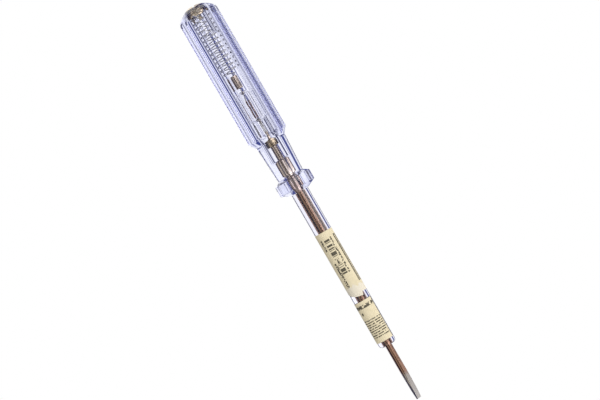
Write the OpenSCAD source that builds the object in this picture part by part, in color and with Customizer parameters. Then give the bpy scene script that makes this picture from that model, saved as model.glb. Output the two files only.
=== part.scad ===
// Neon mains tester screwdriver, lying on its side with its long axis along X.
// The origin is the centre of the blade tip's end face. The handle is towards -X
// and the window in the grip faces +Z. Every height below is measured along the
// tool from the rear end of the handle.

/* [Handle] */
// Overall length of the tool
tool_len = 190; // [180:1:200]
// Outside diameter of the grip over its ribs
grip_d = 17.8; // [17:0.1:19]
// Radius of the domed rear end
dome_r = 10.6; // [10:0.1:14]
// Height where the grip starts to slope down to the neck
grip_top = 62.7; // [61:0.1:64]
// Number of flutes around the grip
flute_count = 10; // [8:1:11]
// Depth of each flute
flute_depth = 0.6; // [0.4:0.05:0.8]
// Angle that each flute covers
flute_deg = 30; // [26:0.5:32]
// Height where the window land starts
window_start = 14.2; // [12:0.1:18]
// Height where the window land ends
window_end = 56.3; // [50:0.1:57]
// Width of the window land
window_w = 5.8; // [5.4:0.1:6.2]

/* [Neck and guard] */
// Neck diameter just in front of the grip
neck_rear_d = 13.4; // [12:0.1:14]
// Neck diameter just behind the guard
neck_front_d = 11.7; // [11:0.1:12]
// Height of the guard's rear foot
guard_start = 82.3; // [82:0.1:83]
// Outside diameter of the guard over its lobes
guard_d = 16.5; // [16:0.1:17.5]
// Number of lobes around the guard
lobe_count = 8; // [6:1:10]
// Depth of each scallop between two lobes
scallop_depth = 0.55; // [0.3:0.05:0.8]

/* [Inside the handle] */
// Diameter of the chamber that holds the spring and the lamp
chamber_d = 7.0; // [6.8:0.1:7.2]
// Diameter of the narrow chamber in the neck
neck_bore_d = 6.1; // [6:0.1:6.4]
// Outside diameter of the plug's thread
thread_d = 9.0; // [8.5:0.1:9.4]
// Thread pitch of the plug
thread_pitch = 1.0; // [0.8:0.05:1.2]
// Length of the plug
plug_len = 4.9; // [4.5:0.1:5]
// Outside diameter of the spring
spring_d = 6.2; // [5.8:0.1:6.4]
// Diameter of the spring wire
wire_d = 0.5; // [0.4:0.05:0.6]
// Outside diameter of the lamp's glass
lamp_d = 5.6; // [5.2:0.1:5.8]
// Outside diameter of the resistor
resistor_d = 3.2; // [2.8:0.1:3.6]

/* [Blade and sleeve] */
// Diameter of the blade's round shaft
shaft_d = 3.0; // [2.9:0.05:3.2]
// Length of the ground taper at the tip
grind_len = 19; // [15:1:20]
// Thickness of the tip at its end face
tip_t = 0.6; // [0.5:0.05:0.8]
// Width of the tip at its end face
tip_w = 2.6; // [2.4:0.05:2.8]
// Turn of the ground faces about the shaft, from +Z towards +Y
tip_turn = 45; // [0:1:90]
// Outside diameter of the insulating sleeve
sleeve_d = 7.8; // [7.4:0.1:8]
// Length of the insulating sleeve
sleeve_len = 74.3; // [70:0.1:76]

/* [Hidden] */

$fn = 96;
over = 1;                    // how far a cutter runs past the face it cuts
snug = 0.02;                 // radial gap where one piece is moulded or pushed onto another
running = 0.05;              // radial gap of the plug's thread in the handle

grip_r = grip_d / 2;
flute_pitch = 360 / flute_count;
flute_floor = grip_r - flute_depth;
flute_chord = grip_r * sin(flute_deg / 2);
flute_sag = grip_r * cos(flute_deg / 2) - flute_floor;
flute_r = (flute_chord * flute_chord + flute_sag * flute_sag) / (2 * flute_sag);
flute_axis = flute_floor + flute_r;
shoulder_len = 2.8;
window_bow = 3.95;           // radius of the window's bowed ends
window_root = 6;             // where the land starts, well inside the wall
flute_end = grip_top + shoulder_len + 0.5;

guard_r = guard_d / 2;
guard_foot = 1.4;            // length of the guard's rear bevel
guard_rim = 4.3;             // length of the guard's full diameter
guard_nose = 1.9;            // length of the guard's front cone
nose_r = 4.3;                // radius of the flat face the sleeve butts against
scallop_deg = 23;            // angle that each scallop covers
scallop_floor = guard_r - scallop_depth;
scallop_chord = guard_r * sin(scallop_deg / 2);
scallop_sag = guard_r * cos(scallop_deg / 2) - scallop_floor;
scallop_r = (scallop_chord * scallop_chord + scallop_sag * scallop_sag) / (2 * scallop_sag);
scallop_axis = scallop_floor + scallop_r;
guard_top = guard_start + guard_foot + guard_rim;
handle_len = guard_top + guard_nose;

chamber_end = 62.3;          // height where the chamber narrows
neck_bore_end = 74.3;        // height of the chamber's flat bottom
thread_depth = 0.3;
thread_start = 1.5;
nipple_d = 3.2;
nipple_len = 2.3;
slot_w = 1.2;
slot_depth = 1.3;

spring_start = plug_len;
spring_end = 34.1;
spring_turns = 14;
spring_steps = 14;           // straight steps in each turn
wire_sides = 6;
small_turns = 1.3;           // turns that close in towards the lamp's cap
small_r = 1.1;               // radius of the last turn's centre line

cap_start = spring_end + 0.1;
cap_end = 40.2;
cap_d = 3.1;
lamp_start = 41.7;
lamp_end = 56.2;
lamp_wall = 0.45;
lamp_round = 1.9;            // radius of the envelope's rounded ends
lead_d = 0.4;
electrode_d = 0.7;
electrode_gap = 1.1;         // distance between the two electrodes' axes
electrode_start = 46.4;
electrode_end = 54.4;
front_button_d = 1.8;

resistor_start = 56.6;
resistor_end = 62.2;
end_cap_len = 0.8;
coat_wall = 0.35;
ferrule_start = 63.6;
ferrule_end = 68;
ferrule_d = 5.4;
ferrule_wall = 1.0;          // thickness of the ferrule's closed rear end
stub_d = 2.1;

shaft_r = shaft_d / 2;
blade_start = ferrule_start + ferrule_wall + snug;
wing_start = neck_bore_end;
wing_end = 82;
wing_w = 4.4;
wing_t = 1.9;
grind_start = tool_len - grind_len;
side_start = 181;            // height where the sides start to narrow

sleeve_start = handle_len + 0.1;
sleeve_end = sleeve_start + sleeve_len;
sleeve_round = 1.6;
label_t = 0.1;
label_gap = 0.01;
upper_label_start = 109.5;
upper_label_end = 140.8;
lower_label_start = 142.6;
lower_label_end = 161.7;
upper_label_deg = 310;       // how far round the sleeve the upper label goes
lower_label_deg = 262;       // how far round the sleeve the lower label goes
lower_label_edge = 55;       // where the lower label's edge is, from +Z towards +Y

// Stands a piece that was drawn from the rear end upwards along the tool's axis.
module lay_down() {
    translate([-tool_len, 0, 0]) rotate([0, 90, 0]) rotate([0, 0, 180]) children();
}

// A round bar from height a to height b.
module bar(a, b, r) {
    translate([0, 0, a]) cylinder(r = r, h = b - a);
}

// Half of a round bar's outline with both ends' edges rounded, standing on the X axis.
module rounded_half(r, l, f) {
    square([r - f, l]);
    translate([0, f]) square([r, l - 2 * f]);
    translate([r - f, f]) circle(r = f);
    translate([r - f, l - f]) circle(r = f);
}

// One straight flute cutter.
module flute(a, b) {
    translate([flute_axis, 0, 0]) bar(a, b, flute_r);
}

// The window's outline: straight sides and bowed ends.
module window_outline() {
    intersection() {
        translate([-window_w / 2, window_start]) square([window_w, window_end - window_start]);
        union() {
            translate([0, window_start + window_bow]) circle(r = window_bow);
            translate([0, window_end - window_bow]) circle(r = window_bow);
            translate([-window_w / 2, window_start + window_bow]) {
                square([window_w, window_end - window_start - 2 * window_bow]);
            }
        }
    }
}

// The smooth land over the lamp, as high as the grip's ribs.
module window_land() {
    intersection() {
        bar(window_start - over, window_end + over, grip_r);
        rotate([90, 0, 90]) {
            translate([0, 0, window_root]) linear_extrude(grip_r) window_outline();
        }
    }
}

// The grip with its domed end, its sloping shoulder, its flutes and its window.
module grip() {
    difference() {
        intersection() {
            union() {
                bar(0, grip_top, grip_r);
                translate([0, 0, grip_top]) {
                    cylinder(r1 = grip_r, r2 = neck_rear_d / 2, h = shoulder_len);
                }
            }
            union() {
                translate([0, 0, dome_r]) sphere(r = dome_r);
                bar(dome_r, grip_top + shoulder_len + over, grip_r + over);
            }
        }
        for (i = [0 : flute_count - 1]) {
            rotate([0, 0, i * flute_pitch]) flute(-over, flute_end);
        }
    }
    window_land();
}

// The guard that stops the fingers, with scallops that keep the tool from rolling.
module guard() {
    difference() {
        translate([0, 0, guard_start]) rotate_extrude() {
            polygon([
                [0, 0],
                [neck_front_d / 2 + 0.3, 0],
                [guard_r, guard_foot],
                [guard_r, guard_foot + guard_rim],
                [nose_r, guard_foot + guard_rim + guard_nose],
                [0, guard_foot + guard_rim + guard_nose],
            ]);
        }
        for (i = [0 : lobe_count - 1]) {
            rotate([0, 0, (i + 0.5) * 360 / lobe_count]) {
                translate([scallop_axis, 0, 0]) {
                    bar(guard_start - over, handle_len + over, scallop_r);
                }
            }
        }
    }
}

// The flattened stretch that keeps the blade from turning in the handle.
module wings(gap) {
    intersection() {
        bar(wing_start - gap, wing_end + gap, wing_w / 2 + gap);
        translate([-wing_t / 2 - gap, -wing_w, wing_start - over]) {
            cube([wing_t + 2 * gap, 2 * wing_w, wing_end - wing_start + 2 * over]);
        }
    }
}

module handle_shell() {
    color([0.78, 0.80, 0.94, 0.45]) lay_down() difference() {
        union() {
            grip();
            translate([0, 0, grip_top + shoulder_len]) {
                cylinder(r1 = neck_rear_d / 2, r2 = neck_front_d / 2,
                    h = guard_start - grip_top - shoulder_len);
            }
            guard();
        }
        bar(-over, plug_len + 0.1, thread_d / 2 + running);
        bar(plug_len, chamber_end, chamber_d / 2);
        bar(chamber_end - over, neck_bore_end, neck_bore_d / 2);
        bar(neck_bore_end - over, handle_len + over, shaft_r + snug);
        wings(snug);
    }
}

module end_plug() {
    color([0.83, 0.62, 0.30]) lay_down() {
        difference() {
            union() {
                intersection() {
                    bar(0, plug_len, thread_d / 2);
                    translate([0, 0, dome_r]) sphere(r = dome_r);
                }
                bar(plug_len - over, plug_len + nipple_len, nipple_d / 2);
            }
            translate([-thread_d, -slot_w / 2, -over]) {
                cube([2 * thread_d, slot_w, slot_depth + over]);
            }
            for (i = [0 : 2]) {
                translate([0, 0, thread_start + i * thread_pitch]) rotate_extrude() {
                    polygon([
                        [thread_d / 2 + thread_depth, -thread_pitch * 0.6],
                        [thread_d / 2 + thread_depth, thread_pitch * 0.6],
                        [thread_d / 2 - thread_depth, 0],
                    ]);
                }
            }
        }
    }
}

// Centre of the spring wire, where t runs from 0 at the plug to 1 at the lamp's cap.
function coil_r(t) =
    let (main_r = (spring_d - wire_d) / 2)
    let (left = (1 - t) * spring_turns)
    left > small_turns ? main_r : small_r + (main_r - small_r) * left / small_turns;
function coil_z(t) =
    spring_start + wire_d / 2 + t * (spring_end - spring_start - wire_d);
function wire_ring(i) =
    let (n = spring_turns * spring_steps)
    let (t = i / n)
    let (a = 360 * i / spring_steps)
    [for (j = [0 : wire_sides - 1])
        let (b = 360 * j / wire_sides)
        let (r = coil_r(t) + wire_d / 2 * cos(b))
        [r * cos(a), r * sin(a), coil_z(t) + wire_d / 2 * sin(b)]];

module contact_spring() {
    rings = spring_turns * spring_steps;
    points = [for (i = [0 : rings]) each wire_ring(i)];
    sides = [for (i = [0 : rings - 1]) for (j = [0 : wire_sides - 1])
        let (k = (j + 1) % wire_sides)
        [i * wire_sides + j, i * wire_sides + k,
            (i + 1) * wire_sides + k, (i + 1) * wire_sides + j]];
    first = [for (j = [0 : wire_sides - 1]) wire_sides - 1 - j];
    last = [for (j = [0 : wire_sides - 1]) rings * wire_sides + j];
    color([0.80, 0.80, 0.82]) lay_down() {
        polyhedron(points = points, faces = concat([first], sides, [last]));
    }
}

module lamp_rear_cap() {
    color([0.80, 0.66, 0.42]) lay_down() translate([0, 0, cap_start]) rotate_extrude() {
        intersection() {
            rounded_half(cap_d / 2, cap_end - cap_start, 0.4);
            square([cap_d, cap_end]);
        }
    }
}

// A straight wire or rod beside the tool's axis, on the side that side says.
module beside(side, a, b, d) {
    translate([0, side * electrode_gap / 2, 0]) bar(a, b, d / 2);
}

module lamp_rear_lead() {
    color([0.72, 0.70, 0.66]) lay_down() beside(1, cap_end, electrode_start, lead_d);
}

module lamp_rear_electrode() {
    color([0.60, 0.42, 0.36]) lay_down() {
        beside(1, electrode_start, electrode_end, electrode_d);
    }
}

module lamp_front_electrode() {
    color([0.60, 0.42, 0.36]) lay_down() {
        beside(-1, electrode_start, electrode_end, electrode_d);
    }
}

module lamp_front_lead() {
    color([0.72, 0.70, 0.66]) lay_down() {
        beside(-1, electrode_end, lamp_end + 0.1, lead_d);
        bar(lamp_end, resistor_start, front_button_d / 2);
    }
}

module lamp_envelope() {
    color([0.92, 0.94, 0.97, 0.35]) lay_down() difference() {
        translate([0, 0, lamp_start]) rotate_extrude() {
            intersection() {
                rounded_half(lamp_d / 2, lamp_end - lamp_start, lamp_round);
                square([lamp_d, lamp_end]);
            }
        }
        translate([0, 0, lamp_start + lamp_wall]) rotate_extrude() {
            intersection() {
                rounded_half(lamp_d / 2 - lamp_wall, lamp_end - lamp_start - 2 * lamp_wall,
                    lamp_round - lamp_wall);
                square([lamp_d, lamp_end]);
            }
        }
        beside(1, lamp_start - over, lamp_start + over, lead_d + snug);
        beside(-1, lamp_end - over, lamp_end + over, lead_d + snug);
    }
}

module resistor_rear_cap() {
    color([0.76, 0.74, 0.70]) lay_down() difference() {
        bar(resistor_start, resistor_start + end_cap_len, resistor_d / 2 - 0.1);
        bar(resistor_start + 0.25, resistor_start + end_cap_len + over,
            resistor_d / 2 - coat_wall);
    }
}

module resistor_core() {
    color([0.95, 0.94, 0.90]) lay_down() {
        bar(resistor_start + 0.25 + snug, resistor_end - 0.25 - snug,
            resistor_d / 2 - coat_wall - snug);
    }
}

module resistor_coat() {
    color([0.97, 0.97, 0.96]) lay_down() difference() {
        bar(resistor_start + end_cap_len + snug, resistor_end - end_cap_len - snug,
            resistor_d / 2);
        bar(resistor_start, resistor_end, resistor_d / 2 - coat_wall);
    }
}

module resistor_front_cap() {
    color([0.80, 0.66, 0.42]) lay_down() {
        difference() {
            bar(resistor_end - end_cap_len, resistor_end, resistor_d / 2 - 0.1);
            bar(resistor_end - end_cap_len - over, resistor_end - 0.25,
                resistor_d / 2 - coat_wall);
        }
        bar(resistor_end - 0.1, ferrule_start, stub_d / 2);
    }
}

module blade_ferrule() {
    color([0.78, 0.60, 0.32]) lay_down() difference() {
        bar(ferrule_start, ferrule_end, ferrule_d / 2);
        bar(ferrule_start + ferrule_wall, ferrule_end + over, shaft_r + snug);
    }
}

// An outline across the blade that tapers at one steady slope to the tip.
module taper(from, tip, wide) {
    slope = (shaft_r - tip / 2) / (tool_len - from);
    reach = tool_len - (wide - tip / 2) / slope;
    rotate([90, 0, 0]) linear_extrude(height = 4 * shaft_d, center = true) {
        polygon([
            [-wide, 0],
            [-wide, reach],
            [-tip / 2, tool_len],
            [tip / 2, tool_len],
            [wide, reach],
            [wide, 0],
        ]);
    }
}

module blade() {
    color([0.62, 0.58, 0.54]) lay_down() {
        intersection() {
            bar(blade_start, tool_len, shaft_r);
            rotate([0, 0, -tip_turn]) taper(grind_start, tip_t, shaft_r + 0.6);
            rotate([0, 0, 90 - tip_turn]) taper(side_start, tip_w, shaft_r + 0.15);
        }
        wings(0);
    }
}

module blade_sleeve() {
    color([0.90, 0.91, 0.96, 0.45]) lay_down() difference() {
        translate([0, 0, sleeve_start]) rotate_extrude() {
            square([sleeve_d / 2 - sleeve_round, sleeve_len]);
            square([sleeve_d / 2, sleeve_len - sleeve_round]);
            translate([sleeve_d / 2 - sleeve_round, sleeve_len - sleeve_round]) {
                circle(r = sleeve_round);
            }
        }
        bar(sleeve_start - over, sleeve_end + over, shaft_r + snug);
    }
}

// A strip of paper wrapped round the sleeve, from angle start over angle span.
module wrap(a, b, start, span) {
    translate([0, 0, a]) rotate([0, 0, start]) rotate_extrude(angle = span) {
        translate([sleeve_d / 2 + label_gap, 0]) square([label_t, b - a]);
    }
}

module upper_label() {
    color([0.91, 0.87, 0.70]) lay_down() {
        wrap(upper_label_start, upper_label_end, -upper_label_deg / 2, upper_label_deg);
    }
}

module lower_label() {
    color([0.91, 0.87, 0.70]) lay_down() {
        wrap(lower_label_start, lower_label_end, -lower_label_edge, lower_label_deg);
    }
}

handle_shell();
end_plug();
contact_spring();
lamp_rear_cap();
lamp_rear_lead();
lamp_envelope();
lamp_rear_electrode();
lamp_front_electrode();
lamp_front_lead();
resistor_rear_cap();
resistor_core();
resistor_coat();
resistor_front_cap();
blade_ferrule();
blade();
blade_sleeve();
upper_label();
lower_label();
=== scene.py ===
import math

import bmesh
import bpy
from mathutils import Matrix, Vector, noise


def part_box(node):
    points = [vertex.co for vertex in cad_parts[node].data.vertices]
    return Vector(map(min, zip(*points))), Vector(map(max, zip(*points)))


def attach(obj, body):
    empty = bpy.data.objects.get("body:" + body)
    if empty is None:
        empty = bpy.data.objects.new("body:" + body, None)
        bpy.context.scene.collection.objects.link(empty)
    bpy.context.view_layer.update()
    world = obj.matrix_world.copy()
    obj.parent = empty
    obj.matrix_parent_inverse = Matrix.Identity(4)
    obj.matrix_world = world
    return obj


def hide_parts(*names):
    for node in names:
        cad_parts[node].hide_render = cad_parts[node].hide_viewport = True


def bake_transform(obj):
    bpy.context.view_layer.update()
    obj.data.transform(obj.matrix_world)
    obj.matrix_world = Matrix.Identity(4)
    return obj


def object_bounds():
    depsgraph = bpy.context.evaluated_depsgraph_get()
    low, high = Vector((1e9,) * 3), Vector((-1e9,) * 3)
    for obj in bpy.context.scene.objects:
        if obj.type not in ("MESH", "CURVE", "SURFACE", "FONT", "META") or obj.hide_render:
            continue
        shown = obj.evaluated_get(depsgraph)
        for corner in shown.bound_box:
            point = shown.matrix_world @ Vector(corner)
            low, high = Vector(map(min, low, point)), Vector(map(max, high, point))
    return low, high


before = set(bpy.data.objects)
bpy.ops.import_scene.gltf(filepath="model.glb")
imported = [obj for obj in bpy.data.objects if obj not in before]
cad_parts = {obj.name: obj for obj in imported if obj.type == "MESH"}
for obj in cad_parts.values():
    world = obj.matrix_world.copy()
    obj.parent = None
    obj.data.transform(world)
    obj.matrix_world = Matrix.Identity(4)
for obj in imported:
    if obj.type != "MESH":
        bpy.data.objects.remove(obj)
cad_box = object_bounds()

# Sizes are in millimetres. A height runs along the tool from the rear end of its handle,
# and a turn goes round its axis from +Z, where the window is, towards -Y.
MM = 0.001
TOOL_LEN = 190.0


def node_span(node):
    """The heights where a CAD node starts and ends."""
    low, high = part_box(node)
    return low.x / MM + TOOL_LEN, high.x / MM + TOOL_LEN


def node_radius(node):
    """Half of a CAD node's height."""
    low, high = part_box(node)
    return (high.z - low.z) / 2 / MM


# Handle
GRIP_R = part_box("handle_shell")[1].z / MM
DOME_R = 10.6
FLUTES_END = 61.0
GRIP_TOP = 62.7
SHOULDER = 2.8
NECK_START = 70.0
NECK_START_R = 6.49
FLUTES = 10
FLUTE_DEPTH = 0.6
FLUTE_DEG = 30.0
WINDOW = (14.2, 56.3)
WINDOW_W = 5.8
WINDOW_SINK = 0.3
WINDOW_BOW = 3.95
NECK_R = (6.7, 5.85)
GUARD = (82.3, 83.7, 88.0)
GUARD_R = 8.25
NOSE_R = 4.3
NOSE = node_span("handle_shell")[1]
LOBES = 8
SCALLOP_DEPTH = 0.55
SCALLOP_DEG = 23.0
CHAMBER_R = 3.5
NECK_BORE_R = 3.05
CHAMBER_END = 62.3
NECK_BORE_END = 74.3

# Inside the handle
THREAD_R = node_radius("end_plug")
THREAD_PITCH = 1.0
THREAD_DEPTH = 0.12
THREAD_GAP = 0.05
PLUG_LEN = 4.9
SLOT = (1.3, 1.2)  # depth and width
NIPPLE_R = 1.6
NIPPLE_LEN = 2.3
SPRING = (PLUG_LEN, node_span("contact_spring")[1])
SPRING_R = node_radius("contact_spring")
SPRING_TURNS = 14
WIRE_R = 0.25
CAP = node_span("lamp_rear_cap")
CAP_R = node_radius("lamp_rear_cap")
LAMP = node_span("lamp_envelope")
LAMP_R = node_radius("lamp_envelope")
ELECTRODE = node_span("lamp_rear_electrode")
ELECTRODE_R = node_radius("lamp_rear_electrode")
ELECTRODE_Y = 0.55
LEAD_R = 0.2
RESISTOR = (node_span("resistor_rear_cap")[0], node_span("resistor_front_cap")[1] - 1.4)
RESISTOR_R = node_radius("resistor_coat")
FERRULE = node_span("blade_ferrule")
FERRULE_R = node_radius("blade_ferrule")

# Blade and sleeve
SHAFT_R = 1.5
BLADE_START = node_span("blade")[0]
WINGS = (NECK_BORE_END, 82.0)
WING_SIZE = (2.2, 0.95)  # half of the width and half of the thickness
GRIND_START = 171.0
SIDE_START = 181.0
TIP = (0.6, 2.6)  # thickness and width
TIP_TURN = -45.0
SLEEVE = node_span("blade_sleeve")
SLEEVE_R = node_radius("blade_sleeve")
UPPER_LABEL = node_span("upper_label")
LOWER_LABEL = node_span("lower_label")
LABEL_R = (3.94, 4.0)
CONTACT = 0.03  # how far clear plastic runs into the metal it is moulded on


# ---------------------------------------------------------------- shapes

def at(h, r, turn):
    """The point at height h and radius r from the tool's axis."""
    a = math.radians(turn)
    return Vector(((h - TOOL_LEN) * MM, -r * math.sin(a) * MM, r * math.cos(a) * MM))


def smooth_min(a, b, k):
    """The smaller of a and b, with the corner between them rounded over k."""
    h = max(k - abs(a - b), 0.0) / k
    return min(a, b) - h * h * k / 4


def smooth_step(t):
    """0 to 1 with a soft start and end, as t goes from 0 to 1."""
    t = min(max(t, 0.0), 1.0)
    return t * t * (3 - 2 * t)


def rounded(corners, steps=5):
    """A line through corners (x, y, fillet radius), with each fillet drawn as an arc."""
    line = [Vector(corners[0][:2])]
    for before, corner, after in zip(corners, corners[1:], corners[2:]):
        here = Vector(corner[:2])
        fillet = corner[2] if len(corner) > 2 else 0
        if not fillet:
            line.append(here)
            continue
        a = (Vector(before[:2]) - here).normalized()
        b = (Vector(after[:2]) - here).normalized()
        half = a.angle(b) / 2
        middle = here + (a + b).normalized() * fillet / math.sin(half)
        start = here + a * fillet / math.tan(half) - middle
        swing = start.angle_signed(here + b * fillet / math.tan(half) - middle)
        for i in range(steps + 1):
            line.append(middle + Matrix.Rotation(-swing * i / steps, 2) @ start)
    line.append(Vector(corners[-1][:2]))
    return [tuple(p) for p in line]


def piece(name, bm, material, slot, body, *nodes, sharp=35):
    """Makes an object from a mesh, smooth but for its sharp edges, and puts it in the frame."""
    for f in bm.faces:
        f.smooth = True
    for e in bm.edges:
        if len(e.link_faces) == 2:
            e.smooth = e.calc_face_angle(0) < math.radians(sharp)
    mesh = bpy.data.meshes.new(name)
    bm.to_mesh(mesh)
    bm.free()
    mesh.materials.append(material)
    obj = bpy.data.objects.new(name, mesh)
    bpy.context.scene.collection.objects.link(obj)
    if body:
        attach(obj, body)
    if nodes:
        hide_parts(*nodes)
    return obj


def skin(bm, rings, loop=False):
    """A surface through rings of points. Its ends are closed, or joined to each other."""
    rows = [[bm.verts.new(p) for p in ring] for ring in rings]
    count = len(rows[0])
    made = []
    for a, b in zip(rows, rows[1:] + ([rows[0]] if loop else [])):
        for i in range(count):
            j = (i + 1) % count
            made.append(bm.faces.new((a[i], a[j], b[j], b[i])))
    if not loop:
        made.append(bm.faces.new(rows[0][::-1]))
        made.append(bm.faces.new(rows[-1]))
    bmesh.ops.recalc_face_normals(bm, faces=made)
    return bm


def circle(h, r, count):
    """A ring of points round the tool's axis."""
    return [at(h, r, 360 * i / count) for i in range(count)]


def lathe(profile, loop=False, count=96):
    """A turned shape from a line of (height, radius) points."""
    return skin(bmesh.new(), [circle(h, r, count) for h, r in profile], loop)


def tube(bm, path, radius, sides=12):
    """A round bar along a path, with its ends closed by small domes."""
    points = [Vector(p) for p in path]
    count = len(points)
    tangents = [(points[min(i + 1, count - 1)] - points[max(i - 1, 0)]).normalized()
                for i in range(count)]
    side = tangents[0].orthogonal().normalized()
    rings = []
    for i, (p, t) in enumerate(zip(points, tangents)):
        side = (side - t * side.dot(t)).normalized()
        other = t.cross(side)
        turns = [2 * math.pi * j / sides for j in range(sides)]
        ends = [(i, 0, (0.35, 0.8)), (count - 1 - i, 1, (0.8, 0.35))]
        grown = [(0.0, 1.0)]
        for distance, last, sizes in ends:
            if distance == 0:
                sign = 1 if last else -1
                domes = [(sign * radius * math.sqrt(1 - s * s), s) for s in sizes]
                grown = grown + domes if last else domes + grown
        for push, size in grown:
            rings.append([p + t * push + (side * math.cos(a) + other * math.sin(a))
                          * radius * size for a in turns])
    return skin(bm, rings)


# ---------------------------------------------------------------- materials

class Shader:
    """A Principled material and short ways to add nodes to it."""

    def __init__(self, name):
        self.mat = bpy.data.materials.new(name)
        self.mat.use_nodes = True
        self.tree = self.mat.node_tree
        self.nodes = self.tree.nodes
        self.main = self.nodes["Principled BSDF"]
        self.out = self.nodes["Material Output"]

    def link(self, source, target):
        self.tree.links.new(source, target)

    def set(self, **values):
        """Sets the shader's own sockets: Base_Color=..., Roughness=... ."""
        for name, value in values.items():
            self.main.inputs[name.replace("_", " ")].default_value = value

    def node(self, kind, **values):
        n = self.nodes.new(kind)
        for name, value in values.items():
            setattr(n, name, value)
        return n

    def coords(self, stretch=(1, 1, 1)):
        """Object coordinates, stretched along each axis."""
        source = self.node("ShaderNodeTexCoord")
        mapping = self.node("ShaderNodeMapping")
        mapping.inputs["Scale"].default_value = stretch
        self.link(source.outputs["Object"], mapping.inputs["Vector"])
        return mapping.outputs["Vector"]

    def noise(self, vector, scale, detail=4.0, rough=0.6):
        n = self.node("ShaderNodeTexNoise")
        n.inputs["Scale"].default_value = scale
        n.inputs["Detail"].default_value = detail
        n.inputs["Roughness"].default_value = rough
        self.link(vector, n.inputs["Vector"])
        return n.outputs["Fac"]

    def ramp(self, fac, *stops):
        """A colour ramp with stops (position, colour or grey level)."""
        n = self.node("ShaderNodeValToRGB")
        points = n.color_ramp.elements
        while len(points) < len(stops):
            points.new(0.5)
        for point, (where, colour) in zip(points, stops):
            point.position = where
            point.color = (*colour, 1) if isinstance(colour, tuple) else (colour,) * 3 + (1,)
        self.link(fac, n.inputs["Fac"])
        return n.outputs["Color"]

    def math(self, operation, a, b=0.0, c=0.0):
        n = self.node("ShaderNodeMath", operation=operation)
        for socket, value in zip(n.inputs, (a, b, c)):
            if isinstance(value, (int, float)):
                socket.default_value = value
            else:
                self.link(value, socket)
        return n.outputs[0]

    def mix(self, fac, a, b, blend="MIX"):
        n = self.node("ShaderNodeMix", data_type="RGBA", blend_type=blend)
        for socket, value in zip((n.inputs[0], n.inputs[6], n.inputs[7]), (fac, a, b)):
            if isinstance(value, (int, float)):
                socket.default_value = value
            elif isinstance(value, tuple):
                socket.default_value = (*value, 1)
            else:
                self.link(value, socket)
        return n.outputs[2]

    def bump(self, height, strength, distance):
        n = self.node("ShaderNodeBump")
        n.inputs["Strength"].default_value = strength
        n.inputs["Distance"].default_value = distance
        self.link(height, n.inputs["Height"])
        self.link(n.outputs["Normal"], self.main.inputs["Normal"])


def clear(name, ior, roughness, tint, density, ripple):
    """Clear plastic or glass: a tint that deepens with thickness and a faint moulded ripple."""
    s = Shader(name)
    s.set(Base_Color=(1, 1, 1, 1), Transmission_Weight=1.0, IOR=ior)
    along = s.coords((0.25, 1, 1))
    smear = s.noise(along, 900, 3)
    s.link(s.ramp(smear, (0.35, roughness), (0.75, roughness * 3)), s.main.inputs["Roughness"])
    s.bump(s.noise(along, 260, 2), ripple, 0.0002)
    if density:
        volume = s.node("ShaderNodeVolumeAbsorption")
        volume.inputs["Color"].default_value = (*tint, 1)
        volume.inputs["Density"].default_value = density
        s.link(volume.outputs[0], s.out.inputs["Volume"])
    return s.mat


def metal(name, colour, dull, roughness, grain=(1, 1, 1), scale=1500.0):
    """Worked metal: its colour varies towards dull, with fine marks along its grain."""
    s = Shader(name)
    s.set(Metallic=1.0)
    cloud = s.noise(s.coords(), 350, 5)
    marks = s.noise(s.coords(grain), scale, 6, 0.7)
    base = s.ramp(cloud, (0.38, colour), (0.72, dull))
    worn = s.ramp(marks, (0.3, 0.72), (0.7, 1.0))
    s.link(s.mix(0.6, base, worn, "MULTIPLY"), s.main.inputs["Base Color"])
    s.link(s.ramp(marks, (0.25, roughness * 0.7), (0.8, roughness * 1.6)),
           s.main.inputs["Roughness"])
    s.bump(marks, 0.25, 0.00002)
    return s.mat


def steel_with_painted_light(name):
    """Plated steel with painted light in its colour: a painted highlight inside the handle, a painted
    brown reflection outside it, and pale again with fine grinding marks on the tip."""
    s = Shader(name)
    s.set(Metallic=1.0)
    split = s.node("ShaderNodeSeparateXYZ")
    s.link(s.node("ShaderNodeTexCoord").outputs["Object"], split.inputs[0])
    along = s.math("MULTIPLY_ADD", split.outputs["X"], 1 / MM / TOOL_LEN, 1.0)
    worn = s.noise(s.coords((0.5, 1, 1)), 500, 5)
    along = s.math("ADD", along, s.math("MULTIPLY_ADD", worn, 0.02, -0.01))
    # Painted light: a bright painted highlight inside the handle and a painted brown reflection on
    # the bare shaft; the pale ground tip is its own colour. The noise above roughens where these
    # bands meet.
    base = s.ramp(along, (0.0, (0.80, 0.68, 0.58)), (0.44, (0.80, 0.68, 0.58)),
                  (0.48, (0.44, 0.27, 0.20)), (0.93, (0.42, 0.25, 0.18)),
                  (0.945, (0.60, 0.55, 0.49)), (1.0, (0.72, 0.69, 0.64)))
    marks = s.noise(s.coords((0.08, 1, 1)), 2500, 6, 0.7)
    grit = s.ramp(marks, (0.3, 0.62), (0.7, 1.0))
    s.link(s.mix(0.7, base, grit, "MULTIPLY"), s.main.inputs["Base Color"])
    rough = s.ramp(along, (0.44, 0.16), (0.48, 0.26), (0.93, 0.28), (0.945, 0.42))
    s.link(s.mix(0.5, rough, s.ramp(marks, (0.25, 0.5), (0.8, 1.3)), "MULTIPLY"),
           s.main.inputs["Roughness"])
    s.bump(marks, 0.3, 0.00002)
    return s.mat


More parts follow.
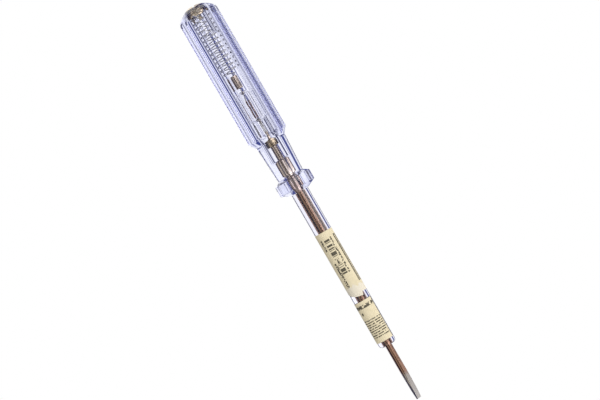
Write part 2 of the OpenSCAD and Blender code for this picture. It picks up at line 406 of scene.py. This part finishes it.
def flat(name, colour, shade, roughness, scale=600.0, coat=0.0):
    """A painted or ceramic surface that varies a little in shade."""
    s = Shader(name)
    s.set(Coat_Weight=coat, Coat_Roughness=0.15)
    cloud = s.noise(s.coords(), scale, 4)
    s.link(s.ramp(cloud, (0.35, colour), (0.75, shade)), s.main.inputs["Base Color"])
    s.link(s.ramp(cloud, (0.3, roughness * 0.8), (0.8, roughness * 1.2)),
           s.main.inputs["Roughness"])
    s.bump(cloud, 0.15, 0.00003)
    return s.mat


def inside(s, value, low, high):
    """1 where value is between low and high, 0 elsewhere."""
    return s.math("COMPARE", value, (low + high) / 2, (high - low) / 2)


def ink(s, h, turn, patch):
    """Where one patch of a label's printing has ink: rows or spots of broken marks."""
    start, end, first, last, along, around, share, pitch = patch
    if around:
        place = s.node("ShaderNodeCombineXYZ")
        s.link(s.math("MULTIPLY", h, along), place.inputs[0])
        s.link(s.math("MULTIPLY", turn, around), place.inputs[1])
        marks = s.noise(place.outputs[0], 1.0, 1.0, 0.4)
    else:
        bars = s.node("ShaderNodeTexWhiteNoise", noise_dimensions="1D")
        s.link(s.math("FLOOR", s.math("MULTIPLY", h, along)), bars.inputs["W"])
        marks = bars.outputs["Value"]
    mask = s.math("GREATER_THAN", marks, share)
    if pitch:
        phase = s.math("FRACT", s.math("DIVIDE", s.math("SUBTRACT", h, start), pitch))
        mask = s.math("MULTIPLY", mask, s.math("LESS_THAN", phase, 0.5))
    mask = s.math("MULTIPLY", mask, inside(s, h, start, end))
    return s.math("MULTIPLY", mask, inside(s, turn, first, last))


def paper(name, patches, worn_from):
    """Aged label paper with generic printing, and bare fibres past worn_from."""
    s = Shader(name)
    s.set(Specular_IOR_Level=0.3)
    split = s.node("ShaderNodeSeparateXYZ")
    s.link(s.node("ShaderNodeTexCoord").outputs["Object"], split.inputs[0])
    h = s.math("MULTIPLY_ADD", split.outputs["X"], 1 / MM, TOOL_LEN)
    angle = s.math("ARCTAN2", s.math("MULTIPLY", split.outputs["Y"], -1), split.outputs["Z"])
    turn = s.math("MULTIPLY", angle, 180 / math.pi)
    cloud = s.noise(s.coords(), 500, 5)
    fibre = s.noise(s.coords((0.4, 1, 1)), 4000, 5, 0.7)
    base = s.ramp(cloud, (0.35, (0.78, 0.69, 0.49)), (0.72, (0.71, 0.62, 0.42)))
    ragged = s.math("MULTIPLY_ADD", cloud, 5.0, worn_from - 2.5)
    worn = s.math("MULTIPLY", s.math("GREATER_THAN", h, ragged), 0.6)
    base = s.mix(worn, base, (0.78, 0.74, 0.67))
    base = s.mix(0.35, base, s.ramp(fibre, (0.3, 0.85), (0.7, 1.0)), "MULTIPLY")
    mask = ink(s, h, turn, patches[0])
    for patch in patches[1:]:
        mask = s.math("MAXIMUM", mask, ink(s, h, turn, patch))
    mask = s.math("MULTIPLY", mask, s.ramp(fibre, (0.25, 0.65), (0.5, 0.95)))
    s.link(s.mix(mask, base, (0.045, 0.04, 0.03)), s.main.inputs["Base Color"])
    s.link(s.ramp(fibre, (0.3, 0.55), (0.7, 0.8)), s.main.inputs["Roughness"])
    s.bump(fibre, 0.3, 0.00002)
    return s.mat


PLASTIC = clear("clear_plastic", 1.49, 0.002, (0.20, 0.25, 0.66), 36, 0.002)
TUBE = clear("clear_tube", 1.50, 0.004, (0.50, 0.50, 0.72), 60, 0.02)
GLASS = clear("lamp_glass", 1.50, 0.005, (0.9, 0.92, 0.95), 30, 0.02)
PLUG_BRASS = metal("plug_brass", (0.86, 0.73, 0.52), (0.76, 0.62, 0.44), 0.30)
CAP_BRASS = metal("cap_brass", (0.90, 0.76, 0.62), (0.74, 0.59, 0.46), 0.28)
FERRULE_BRASS = metal("ferrule_brass", (0.68, 0.56, 0.39), (0.50, 0.38, 0.25), 0.25)
SPRING_STEEL = metal("spring_steel", (0.97, 0.97, 0.98), (0.90, 0.90, 0.92), 0.75)
WIRE = metal("lead_wire", (0.66, 0.64, 0.60), (0.50, 0.46, 0.42), 0.3)
# Its colour carries a painted highlight inside the handle and a painted brown reflection outside it.
PAINTED_LIGHT_STEEL = steel_with_painted_light("plated_steel")
ELECTRODE_METAL = metal("electrode", (0.72, 0.50, 0.48), (0.22, 0.08, 0.06), 0.45)
CERAMIC = flat("resistor_ceramic", (0.90, 0.88, 0.82), (0.80, 0.78, 0.72), 0.6)
LACQUER = flat("resistor_lacquer", (0.93, 0.93, 0.92), (0.86, 0.86, 0.85), 0.3, coat=0.3)

# Printing on the labels: start, end, first turn, last turn, marks along, marks around,
# how high the noise must be for ink, and the pitch of the rows (0 for none)
UPPER_INK = ((112.0, 134.5, -72, -60, 2.4, 0.3, 0.36, 0), (112.0, 134.5, -55, -43, 2.4, 0.3, 0.36, 0),
             (112.5, 129.6, -22, -9, 1.5, 0.07, 0.49, 0), (113.0, 121.4, -5, 31, 3.3, 0, 0.45, 0),
             (121.8, 124.6, 2, 28, 0.4, 0.16, 0.52, 0), (124.8, 129.2, -3, 30, 3.3, 0, 0.45, 0),
             (112.4, 117.6, 42, 57, 1.9, 0.10, 0.45, 0), (123.6, 135.2, 32, 50, 1.9, 0.10, 0.46, 0))
LOWER_INK = ((144.1, 145.7, -70, 190, 1.2, 0.06, 0.45, 0), (147.3, 148.5, 47, 60, 2.0, 0.10, 0.42, 0),
             (151.0, 159.4, -50, 180, 0.9, 0.10, 0.43, 0.984))
UPPER_PAPER = paper("upper_label_paper", UPPER_INK, 135.4)
LOWER_PAPER = paper("lower_label_paper", LOWER_INK, 170.0)


# ---------------------------------------------------------------- handle

def cut_r(radius, depth, degrees):
    """The radius of a cutter that sinks depth into a round bar and spans degrees of it,
    and how far its axis is from the bar's."""
    chord = radius * math.sin(math.radians(degrees / 2))
    sag = radius * math.cos(math.radians(degrees / 2)) - (radius - depth)
    r = (chord * chord + sag * sag) / (2 * sag)
    return r, radius - depth + r, chord


def cut_depth(r, away, turn):
    """The radius that a cutter leaves at a turn from its own, or None where it misses."""
    a = math.radians(turn)
    square = r * r - (away * math.sin(a)) ** 2
    return away * math.cos(a) - math.sqrt(square) if square > 0 else None


def window_inset(h, turn):
    """How far inside the window's outline a point on the grip is; less than 0 is outside."""
    side = GRIP_R * math.sin(math.radians(turn))
    if abs(turn) > 90:
        return -9.0
    past = max(WINDOW[0] + WINDOW_BOW - h, h - WINDOW[1] + WINDOW_BOW, 0.0)
    return min(WINDOW_W / 2 - abs(side), WINDOW_BOW - math.hypot(side, past))


def grip_surface(h, r, turn):
    """The grip's radius with its flutes and the window's smooth land."""
    flute_r, away, _ = cut_r(GRIP_R, FLUTE_DEPTH, FLUTE_DEG)
    pitch = 360 / FLUTES
    off = (turn + pitch / 2) % pitch - pitch / 2
    left = cut_depth(flute_r, away, off)
    cut = smooth_min(r, left, 0.2) if left is not None else r
    land = smooth_step((window_inset(h, turn) + 0.12) / 0.24)
    return cut + (min(r, GRIP_R - WINDOW_SINK) - cut) * land


def guard_surface(r, turn):
    """The guard's radius with its scallops."""
    scallop_r, away, _ = cut_r(GUARD_R, SCALLOP_DEPTH, SCALLOP_DEG)
    pitch = 360 / LOBES
    off = turn % pitch - pitch / 2
    left = cut_depth(scallop_r, away, off)
    return smooth_min(r, left, 0.2) if left is not None else r


def shell_turns():
    """The turns of the shell's columns, closer together at each flute's edges and over
    the window."""
    half = [0, 3, 6, 8.6, 10.8, 12.4, 13.6, 14.4, 14.8, 15.2, 15.6, 16.2, 17, 18]
    turns = {i * 360 / FLUTES + s * t for i in range(FLUTES) for t in half for s in (-1, 1)}
    turns = {round((t + 180) % 360 - 180, 3) for t in turns}
    turns |= {s * (17.4 + 0.3 * i) for i in range(11) for s in (-1, 1)}
    turns |= {s * 1.2 * i for i in range(16) for s in (-1, 1)}
    return sorted(round(t, 3) for t in turns)


def handle_outline(rim):
    """The handle's outside line, from the rim round the plug to the nose."""
    dome = []
    for i in range(15):
        h = rim + (6.5 - rim) * (i / 14) ** 1.25
        ball = math.sqrt(max(DOME_R ** 2 - (DOME_R - h) ** 2, 0))
        dome.append((h, smooth_min(GRIP_R, ball, 0.5)))
    ends = [0.12 * i - 0.24 for i in range(20)]
    straight = [WINDOW[0] + e for e in ends] + [20, 30, 40, 50]
    straight += [WINDOW[1] - e for e in ends] + [FLUTES_END]
    shoulder = rounded([(FLUTES_END, GRIP_R), (GRIP_TOP, GRIP_R, 0.8),
                        (GRIP_TOP + SHOULDER, NECK_R[0], 1.2), (NECK_START, NECK_START_R)], 6)
    neck = rounded([(NECK_START, NECK_START_R), (GUARD[0], NECK_R[1], 0.3),
                    (GUARD[1], GUARD_R, 0.25), (GUARD[2], GUARD_R, 0.3), (NOSE, NOSE_R, 0.15),
                    (NOSE, SHAFT_R - CONTACT)], 5)
    outline = dome + [(h, GRIP_R) for h in straight] + shoulder[1:] + neck[1:]
    return sorted(outline[:-2], key=lambda p: p[0]) + outline[-2:]


def handle_bore(rim):
    """The handle's inside line, from the nose back to the rim."""
    line = rounded([(NOSE, SHAFT_R - CONTACT), (NECK_BORE_END, SHAFT_R - CONTACT),
                    (NECK_BORE_END, NECK_BORE_R, 0.15), (CHAMBER_END, NECK_BORE_R, 0.1),
                    (CHAMBER_END, CHAMBER_R, 0.15), (PLUG_LEN + 0.1, CHAMBER_R, 0.1),
                    (PLUG_LEN + 0.1, THREAD_R + THREAD_GAP), (rim, THREAD_R + THREAD_GAP)], 3)
    return line[1:-1]


def handle_shell():
    """The clear handle: a fluted grip, the window's land, a neck and a lobed guard."""
    rim = DOME_R - math.sqrt(DOME_R ** 2 - (THREAD_R + THREAD_GAP) ** 2)
    turns = shell_turns()
    rings = []
    for h, r in handle_outline(rim):
        if h < NECK_START:
            rings.append([at(h, grip_surface(h, r, t), t) for t in turns])
        elif h > GUARD[0] - 0.5 and r > NOSE_R:
            rings.append([at(h, guard_surface(r, t), t) for t in turns])
        else:
            rings.append([at(h, r, t) for t in turns])
    rings += [[at(h, r, t) for t in turns] for h, r in handle_bore(rim)]
    bm = skin(bmesh.new(), rings, loop=True)
    piece("clear_handle", bm, PLASTIC, "clear_handle", "handle", "handle_shell", sharp=40)


# ---------------------------------------------------------------- plug and spring

def thread_rows(low, count):
    """Rings for the plug's cut thread, which fades out at both ends."""
    steps = 78
    rows = []
    for i in range(1, steps + 1):
        h = low + (PLUG_LEN - low) * i / steps
        ease = smooth_step((h - low - 0.2) / 0.4) * smooth_step((PLUG_LEN - h) / 0.3)
        ring = []
        for j in range(count):
            turn = 360 * j / count
            wave = abs(((h / THREAD_PITCH - turn / 360) % 1) - 0.5) * 2
            r = THREAD_R - THREAD_DEPTH * ease * (1 - min(wave * 1.25, 1))
            ring.append(at(h, r, turn))
        rows.append(ring)
    return rows


def cut_slot(plug):
    """Cuts the screwdriver slot across the plug's head."""
    box = bmesh.new()
    bmesh.ops.create_cube(box, size=1)
    size = Vector((SLOT[0] * 2, SLOT[1], 12)) * MM
    place = Matrix.Translation(at(0, 0, 0)) @ Matrix.Diagonal(size).to_4x4()
    bmesh.ops.transform(box, matrix=place, verts=box.verts)
    cutter_mesh = bpy.data.meshes.new("slot_cutter")
    box.to_mesh(cutter_mesh)
    box.free()
    cutter = bpy.data.objects.new("slot_cutter", cutter_mesh)
    bpy.context.scene.collection.objects.link(cutter)
    cut = plug.modifiers.new("slot", "BOOLEAN")
    cut.operation = "DIFFERENCE"
    cut.solver = "EXACT"
    cut.object = cutter
    bpy.context.view_layer.update()
    evaluated = plug.evaluated_get(bpy.context.evaluated_depsgraph_get())
    done = bpy.data.meshes.new_from_object(evaluated)
    plug.modifiers.clear()
    plug.data = done
    bpy.data.objects.remove(cutter)


def end_plug():
    """The brass plug: a domed head with a slot, a cut thread and a nipple."""
    count = 120
    head = []
    for i in range(1, 12):
        r = THREAD_R * i / 11
        head.append((DOME_R - math.sqrt(DOME_R ** 2 - r * r), r))
    rows = [circle(0.0, 0.05, count)] + [circle(h, r, count) for h, r in head]
    rows += thread_rows(head[-1][0], count)
    nipple_end = PLUG_LEN + NIPPLE_LEN
    nipple = rounded([(PLUG_LEN, THREAD_R - 0.1), (PLUG_LEN, NIPPLE_R, 0.2),
                      (nipple_end, NIPPLE_R, 0.5), (nipple_end, 0.05)], 4)
    rows += [circle(h, r, count) for h, r in nipple]
    plug = piece("end_plug_brass", skin(bmesh.new(), rows), PLUG_BRASS, "plug_brass", "plug",
                 "end_plug", sharp=30)
    cut_slot(plug)


def contact_spring():
    """The coil spring, with its last turns closing in on the lamp's cap."""
    steps = 40
    count = SPRING_TURNS * steps
    mean = SPRING_R - WIRE_R
    path = []
    for i in range(count + 1):
        left = (count - i) / steps
        r = mean if left > 1.3 else 1.1 + (mean - 1.1) * left / 1.3
        h = SPRING[0] + WIRE_R + (SPRING[1] - SPRING[0] - 2 * WIRE_R) * i / count
        path.append(at(h, r, 360 * i / steps))
    spring = piece("coil_spring", tube(bmesh.new(), path, WIRE_R * MM, 12), SPRING_STEEL,
                   "spring_steel", None, "contact_spring", sharp=80)
    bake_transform(spring)


# ---------------------------------------------------------------- lamp

def lamp_cap():
    """The cap that the spring presses on, with a shallow groove."""
    a, b = CAP
    r = CAP_R
    line = rounded([(a, 0.05), (a, r - 0.25, 0.2), (a + 0.5, r, 0.2), (b - 0.9, r, 0.1),
                    (b - 0.75, r - 0.12, 0.05), (b - 0.6, r - 0.12, 0.05), (b - 0.45, r, 0.1),
                    (b, r, 0.15), (b, 0.05)], 4)
    piece("lamp_cap", lathe(line), CAP_BRASS, "cap_brass", "handle", "lamp_rear_cap")


def lamp_glass():
    """The lamp's hollow glass, closed round its leads."""
    a, b = LAMP
    outer = rounded([(a, 0.17), (a, LAMP_R, 1.9), (b, LAMP_R, 1.9), (b, 0.17)], 10)
    inner = rounded([(b - 1.4, 0.17), (b - 0.6, 1.2, 0.3), (b - 0.45, LAMP_R - 0.45, 1.4),
                     (a + 0.45, LAMP_R - 0.45, 1.4), (a + 0.6, 1.2, 0.3), (a + 1.4, 0.17)], 8)
    piece("lamp_glass_tube", lathe(outer + inner, loop=True), GLASS, "lamp_glass", "handle",
          "lamp_envelope")


def lamp_leads():
    """A wire into each end of the lamp. The front one ends in a contact button."""
    a, b = LAMP
    rear = [at(CAP[1] - 0.1, 0, 0), at(a, 0, 0), at(a + 1.6, 0, 0), at(a + 2.8, 0.25, 90),
            at(ELECTRODE[0] - 0.6, ELECTRODE_Y, 90), at(ELECTRODE[0] + 0.4, ELECTRODE_Y, 90)]
    piece("rear_lead", tube(bmesh.new(), rear, LEAD_R * MM), WIRE, "lead_wire", "handle",
          "lamp_rear_lead", sharp=80)
    front = [at(ELECTRODE[1] - 0.4, ELECTRODE_Y, -90), at(ELECTRODE[1] + 0.2, ELECTRODE_Y, -90),
             at(b - 1.2, 0.1, -90), at(b - 0.6, 0, 0), at(b + 0.05, 0, 0)]
    bm = tube(bmesh.new(), front, LEAD_R * MM)
    button = rounded([(b - 0.05, 0.05), (b - 0.05, 0.85, 0.1), (b + 0.4, 0.85, 0.15),
                      (b + 0.4, 0.05)], 3)
    skin(bm, [circle(h, r, 48) for h, r in button])
    piece("front_lead", bm, WIRE, "lead_wire", "handle", "lamp_front_lead", sharp=50)


def lamp_electrodes():
    """Two rods side by side, each with a slight wave."""
    for side, name in ((1, "rear"), (-1, "front")):
        path = [at(ELECTRODE[0] + (ELECTRODE[1] - ELECTRODE[0]) * i / 12,
                   ELECTRODE_Y + 0.05 * math.sin(i * 0.9), 90 * side) for i in range(13)]
        piece(name + "_electrode_rod", tube(bmesh.new(), path, ELECTRODE_R * MM, 20),
              ELECTRODE_METAL, "electrode", "handle", f"lamp_{name}_electrode", sharp=80)


# ---------------------------------------------------------------- resistor and ferrule

def resistor():
    """The resistor: a ceramic rod in a lacquer coat, with a metal cap on each end."""
    a, b = RESISTOR
    r = RESISTOR_R
    rear = rounded([(a, 0.05), (a, r - 0.1, 0.2), (a + 0.8, r - 0.1, 0.05), (a + 0.8, r - 0.35),
                    (a + 0.25, r - 0.35), (a + 0.25, 0.05)], 4)
    piece("resistor_cap_rear", lathe(rear), WIRE, "end_cap_metal", "handle", "resistor_rear_cap")
    front = rounded([(b - 0.25, 0.05), (b - 0.25, r - 0.35), (b - 0.8, r - 0.35),
                     (b - 0.8, r - 0.1, 0.05), (b, r - 0.1, 0.2), (b, 1.05, 0.1),
                     (FERRULE[0], 1.05, 0.25), (FERRULE[0], 0.05)], 4)
    piece("resistor_cap_front", lathe(front), CAP_BRASS, "cap_brass", "handle",
          "resistor_front_cap")
    core = rounded([(a + 0.27, 0.05), (a + 0.27, r - 0.37, 0.1), (b - 0.27, r - 0.37, 0.1),
                    (b - 0.27, 0.05)], 3)
    piece("resistor_rod", lathe(core), CERAMIC, "resistor_ceramic", "handle", "resistor_core")
    coat = rounded([(a + 0.82, r - 0.35), (a + 0.82, r, 0.25), (a + 1.8, r, 1.0),
                    (a + 2.2, r - 0.1, 1.0), (b - 2.2, r - 0.1, 1.0), (b - 1.8, r, 1.0),
                    (b - 0.82, r, 0.25), (b - 0.82, r - 0.35)], 5)
    piece("resistor_body", lathe(coat, loop=True), LACQUER, "resistor_lacquer", "handle",
          "resistor_coat")


def blade_ferrule():
    """The grooved brass collar on the blade's rear end."""
    a, b = FERRULE
    r = FERRULE_R
    line = rounded([(a, 0.05), (a, r - 0.35, 0.1), (a + 0.35, r, 0.1), (a + 1.5, r, 0.1),
                    (a + 1.7, r - 0.2, 0.08), (a + 1.95, r - 0.2, 0.08), (a + 2.15, r, 0.1),
                    (b - 0.25, r, 0.1), (b, r - 0.25, 0.1), (b, SHAFT_R + 0.02, 0.05),
                    (a + 1, SHAFT_R + 0.02), (a + 1, 0.05)], 3)
    piece("ferrule", lathe(line), FERRULE_BRASS, "ferrule_brass", "handle", "blade_ferrule")


# ---------------------------------------------------------------- blade

def shaft_ring(h, count=128):
    """The blade's section: round, but flattened into two wings inside the neck."""
    ease = smooth_step((h - WINGS[0]) / 0.6) * smooth_step((WINGS[1] - h) / 0.8)
    wide = SHAFT_R + (WING_SIZE[0] - SHAFT_R) * ease
    thin = SHAFT_R + (WING_SIZE[1] - SHAFT_R) * ease
    x = (h - TOOL_LEN) * MM
    ring = []
    for i in range(count):
        a = 2 * math.pi * i / count
        ring.append(Vector((x, -wide * math.sin(a) * MM, thin * math.cos(a) * MM)))
    return ring


def trim(bm, point, normal):
    """Cuts away what lies past a plane and closes the cut."""
    geometry = bm.verts[:] + bm.edges[:] + bm.faces[:]
    cut = bmesh.ops.bisect_plane(bm, geom=geometry, plane_co=point, plane_no=normal,
                                 clear_outer=True)
    edges = [e for e in cut["geom_cut"] if isinstance(e, bmesh.types.BMEdge)]
    bmesh.ops.holes_fill(bm, edges=edges)


def blade():
    """The shaft, with its rear edge broken and its front end ground flat and narrowed."""
    heights = [BLADE_START, BLADE_START + 0.15] + [70, 74, WINGS[0]]
    heights += [WINGS[0] + 0.06 * i for i in range(1, 11)]
    heights += [WINGS[1] - 1 + 0.1 * i for i in range(11)] + [84, 100, 130, 160, 166]
    heights += [168 + i for i in range(22)] + [TOOL_LEN]
    rings = [shaft_ring(h) for h in heights]
    rings[0] = circle(BLADE_START, SHAFT_R - 0.15, 128)
    bm = skin(bmesh.new(), rings)
    grinds = ((GRIND_START, TIP[0], TIP_TURN), (SIDE_START, TIP[1], TIP_TURN + 90))
    for start, tip, turn in grinds:
        slope = math.atan((SHAFT_R - tip / 2) / (TOOL_LEN - start))
        for side in (0, 180):
            across = at(TOOL_LEN, 1 / MM, turn + side)
            normal = across * math.cos(slope) + Vector((math.sin(slope), 0, 0))
            trim(bm, at(TOOL_LEN, tip / 2, turn + side), normal)
    piece("blade_shaft", bm, PAINTED_LIGHT_STEEL, "plated_steel", "handle", "blade", sharp=14)


# ---------------------------------------------------------------- sleeve and labels

def blade_sleeve():
    """The clear tube over the blade, with a rounded front end."""
    a, b = SLEEVE
    line = rounded([(a, SHAFT_R - CONTACT), (a, SLEEVE_R, 0.15), (b, SLEEVE_R, 1.5),
                    (b, SHAFT_R - CONTACT, 0.1), (a, SHAFT_R - CONTACT)], 8)
    piece("clear_sleeve_tube", lathe(line[:-1], loop=True, count=128), TUBE, "clear_sleeve",
          "handle", "blade_sleeve")


def label(name, material, start, end, first, last, node):
    """A paper strip round the sleeve. start and end give its edges' heights at a turn."""
    columns = 160
    rows = 40
    bm = bmesh.new()
    grids = []
    for r in LABEL_R:
        grid = []
        for i in range(columns + 1):
            turn = first + (last - first) * i / columns
            low, high = start(turn), end(turn)
            grid.append([bm.verts.new(at(low + (high - low) * j / rows, r, turn))
                         for j in range(rows + 1)])
        grids.append(grid)
    inner, outer = grids
    for i in range(columns):
        for j in range(rows):
            for g in grids:
                bm.faces.new((g[i][j], g[i + 1][j], g[i + 1][j + 1], g[i][j + 1]))
        for j in (0, rows):
            bm.faces.new((inner[i][j], inner[i + 1][j], outer[i + 1][j], outer[i][j]))
    for j in range(rows):
        for i in (0, columns):
            bm.faces.new((inner[i][j], inner[i][j + 1], outer[i][j + 1], outer[i][j]))
    bmesh.ops.recalc_face_normals(bm, faces=bm.faces)
    piece(name, bm, material, "label_paper", "handle", node, sharp=60)


# The torn front edge of the upper label: (turn, height)
TORN = ((-156, 139.4), (-23, 139.0), (-17, 140.6), (10, 140.3), (35, 139.8), (64, 139.0),
        (78, 137.8), (156, 138.6))


def torn_edge(turn):
    """The height of the upper label's torn edge at a turn."""
    for (t0, h0), (t1, h1) in zip(TORN, TORN[1:]):
        if t0 <= turn <= t1:
            ragged = noise.noise(Vector((turn * 0.12, 3.1, 0))) * 0.16
            return h0 + (h1 - h0) * (turn - t0) / (t1 - t0) + ragged
    return TORN[-1][1]


def labels():
    """The two paper labels: the upper one is torn at its front edge."""
    label("barcode_label", UPPER_PAPER, lambda t: UPPER_LABEL[0], torn_edge, -155, 155,
          "upper_label")
    label("text_label", LOWER_PAPER, lambda t: LOWER_LABEL[0], lambda t: LOWER_LABEL[1], -55, 207,
          "lower_label")


handle_shell()
end_plug()
contact_spring()
lamp_cap()
lamp_glass()
lamp_leads()
lamp_electrodes()
resistor()
blade_ferrule()
blade()
blade_sleeve()
labels()


# ---------------------------------------------------------------- stage, light and camera

# Each list gives light by its turn about the tool's axis, from +Z towards +Y.
WHITE = (1.2, 1.2, 1.22)
PALE = (1.15, 1.15, 1.18)
BLUE = (0.08, 0.10, 0.32)
DARK = (0.01, 0.015, 0.10)
OFF = (0, 0, 0)

# What gloss and clear parts see: white from below, dark at the sides and soft from above
GLOW = ((-180, WHITE), (-152, WHITE), (-149, BLUE), (-139, BLUE), (-136, PALE), (-128, PALE),
        (-120, DARK), (-80, DARK), (-60, (0.20, 0.18, 0.18)), (-46, (0.85, 0.82, 0.75)),
        (-34, (0.85, 0.82, 0.75)), (-24, (0.10, 0.09, 0.08)), (4, (0.16, 0.15, 0.15)),
        (16, (0.62, 0.60, 0.58)), (40, (0.42, 0.40, 0.40)), (62, (0.16, 0.15, 0.18)),
        (80, DARK), (114, DARK), (127, WHITE), (155, WHITE), (158, BLUE), (168, BLUE),
        (171, WHITE), (180, WHITE))

# A bright strip that is added to GLOW on the handle's side of the sky
KEY = ((-180, OFF), (-28, OFF), (2, (0.4, 0.39, 0.38)), (18, (2.8, 2.75, 2.65)),
       (46, (2.8, 2.75, 2.65)), (70, (0.7, 0.66, 0.60)), (84, OFF), (180, OFF))
KEY_EDGE = 0.012

# What rough surfaces receive: even light, a little stronger from above and from +Y
SOFT = ((-180, (0.45, 0.45, 0.45)), (-100, (0.35, 0.35, 0.35)), (-20, (1.0, 1.0, 0.99)),
        (60, (1.12, 1.12, 1.11)), (120, (0.8, 0.8, 0.8)), (180, (0.45, 0.45, 0.45)))

# Camera: its slope and lean in degrees, its distance, and its aim off the tool's middle
SLOPE = 59.96
LEAN = 5.0
DISTANCE = 0.84
AIM = (-0.00243, 0.00084)


def floor():
    """A plain white floor. Only the camera sees it; light comes up from below as well."""
    bm = bmesh.new()
    bmesh.ops.create_circle(bm, cap_ends=True, segments=96, radius=3)
    bmesh.ops.translate(bm, verts=bm.verts, vec=Vector((-0.095, 0, cad_box[0].z)))
    mesh = bpy.data.meshes.new("floor")
    bm.to_mesh(mesh)
    bm.free()
    s = Shader("floor")
    s.set(Base_Color=(0.0, 0.0, 0.0, 1), Roughness=1.0, Emission_Strength=1.0,
          Emission_Color=(1, 1, 1, 1), Specular_IOR_Level=0)
    mesh.materials.append(s.mat)
    obj = bpy.data.objects.new("floor", mesh)
    obj.visible_diffuse = False
    obj.visible_glossy = False
    obj.visible_transmission = False
    obj.visible_shadow = False
    bpy.context.scene.collection.objects.link(obj)


def strips(tree, turn, stops):
    """A background whose light changes with the turn about the tool's axis."""
    ramp = tree.nodes.new("ShaderNodeValToRGB")
    while len(ramp.color_ramp.elements) < len(stops):
        ramp.color_ramp.elements.new(0.5)
    for e, (where, colour) in zip(ramp.color_ramp.elements, stops):
        e.position = 0.5 + where / 360
        e.color = (*colour, 1)
    tree.links.new(turn, ramp.inputs["Fac"])
    background = tree.nodes.new("ShaderNodeBackground")
    tree.links.new(ramp.outputs["Color"], background.inputs["Color"])
    return background


def turn_of(tree, direction):
    """The turn of a direction about the tool's axis, as 0 to 1 for -180 to 180 degrees."""
    turn = tree.nodes.new("ShaderNodeMath")
    turn.operation = "ARCTAN2"
    scale = tree.nodes.new("ShaderNodeMath")
    scale.operation = "MULTIPLY_ADD"
    scale.inputs[1].default_value = 0.5 / math.pi
    scale.inputs[2].default_value = 0.5
    tree.links.new(direction.outputs["Y"], turn.inputs[0])
    tree.links.new(direction.outputs["Z"], turn.inputs[1])
    tree.links.new(turn.outputs[0], scale.inputs[0])
    return scale.outputs[0]


def glow_and_key(tree, direction, turn):
    """The light that gloss and clear parts see. The key is on only towards -X."""
    key = strips(tree, turn, KEY)
    rearward = tree.nodes.new("ShaderNodeMapRange")
    rearward.inputs["From Min"].default_value = KEY_EDGE
    rearward.inputs["From Max"].default_value = -KEY_EDGE
    tree.links.new(direction.outputs["X"], rearward.inputs["Value"])
    tree.links.new(rearward.outputs[0], key.inputs["Strength"])
    both = tree.nodes.new("ShaderNodeAddShader")
    tree.links.new(strips(tree, turn, GLOW).outputs[0], both.inputs[0])
    tree.links.new(key.outputs[0], both.inputs[1])
    return both.outputs[0]


def sky():
    """Long strips of light round the tool, seen in gloss and through clear parts, with
    soft light for rough surfaces and plain white behind everything."""
    world = bpy.data.worlds.new("sky")
    bpy.context.scene.world = world
    world.use_nodes = True
    tree = world.node_tree
    tree.nodes.remove(tree.nodes["Background"])
    coords = tree.nodes.new("ShaderNodeTexCoord")
    direction = tree.nodes.new("ShaderNodeSeparateXYZ")
    tree.links.new(coords.outputs["Generated"], direction.inputs[0])
    turn = turn_of(tree, direction)
    ray = tree.nodes.new("ShaderNodeLightPath")
    white = tree.nodes.new("ShaderNodeBackground")
    white.inputs["Color"].default_value = (1, 1, 1, 1)
    light = glow_and_key(tree, direction, turn)
    for kind, other in (("Is Diffuse Ray", strips(tree, turn, SOFT)), ("Is Camera Ray", white)):
        mix = tree.nodes.new("ShaderNodeMixShader")
        tree.links.new(ray.outputs[kind], mix.inputs[0])
        tree.links.new(light, mix.inputs[1])
        tree.links.new(other.outputs[0], mix.inputs[2])
        light = mix.outputs[0]
    tree.links.new(light, tree.nodes["World Output"].inputs["Surface"])


def softbox(name, where, aim, size, power, colour):
    """A soft rectangular light that the camera doesn't see."""
    data = bpy.data.lights.new(name, "AREA")
    data.shape = "RECTANGLE"
    data.size, data.size_y = size
    data.energy = power
    data.color = colour
    obj = bpy.data.objects.new(name, data)
    obj.location = where
    obj.rotation_euler = (aim - where).to_track_quat("-Z", "Y").to_euler()
    obj.visible_camera = False
    bpy.context.scene.collection.objects.link(obj)


def camera():
    """Looks down on the tool from a little towards -Y, turned so that the tip points down
    and to the right."""
    slope = math.radians(SLOPE)
    lean = math.radians(LEAN)
    along = Vector((1, 0, 0))
    back = Vector((0, -math.sin(lean), math.cos(lean)))
    across = back.cross(along)
    right = math.cos(slope) * along + math.sin(slope) * across
    up = -math.sin(slope) * along + math.cos(slope) * across
    aim = at(TOOL_LEN / 2, 0, 0) + right * AIM[0] + up * AIM[1]
    data = bpy.data.cameras.new("camera")
    data.lens = 120
    data.sensor_width = 36
    data.clip_start = 0.01
    obj = bpy.data.objects.new("camera", data)
    turn = Matrix((right, up, back)).transposed().to_4x4()
    obj.matrix_world = Matrix.Translation(aim + back * DISTANCE) @ turn
    bpy.context.scene.collection.objects.link(obj)
    bpy.context.scene.camera = obj


def tip_light():
    """A small light from +Y that picks out the ground tip."""
    tip = at(TOOL_LEN - 6, 0, 0)
    where = tip + Vector((0.03, 0.12, 0.01))
    softbox("tip_light", where, tip, (0.08, 0.06), 0.02, (1.0, 0.99, 0.95))


floor()
sky()
tip_light()
camera()
scene = bpy.context.scene
scene.view_settings.view_transform = "Standard"
scene.cycles.max_bounces = 24
scene.cycles.transmission_bounces = 24
scene.cycles.glossy_bounces = 12
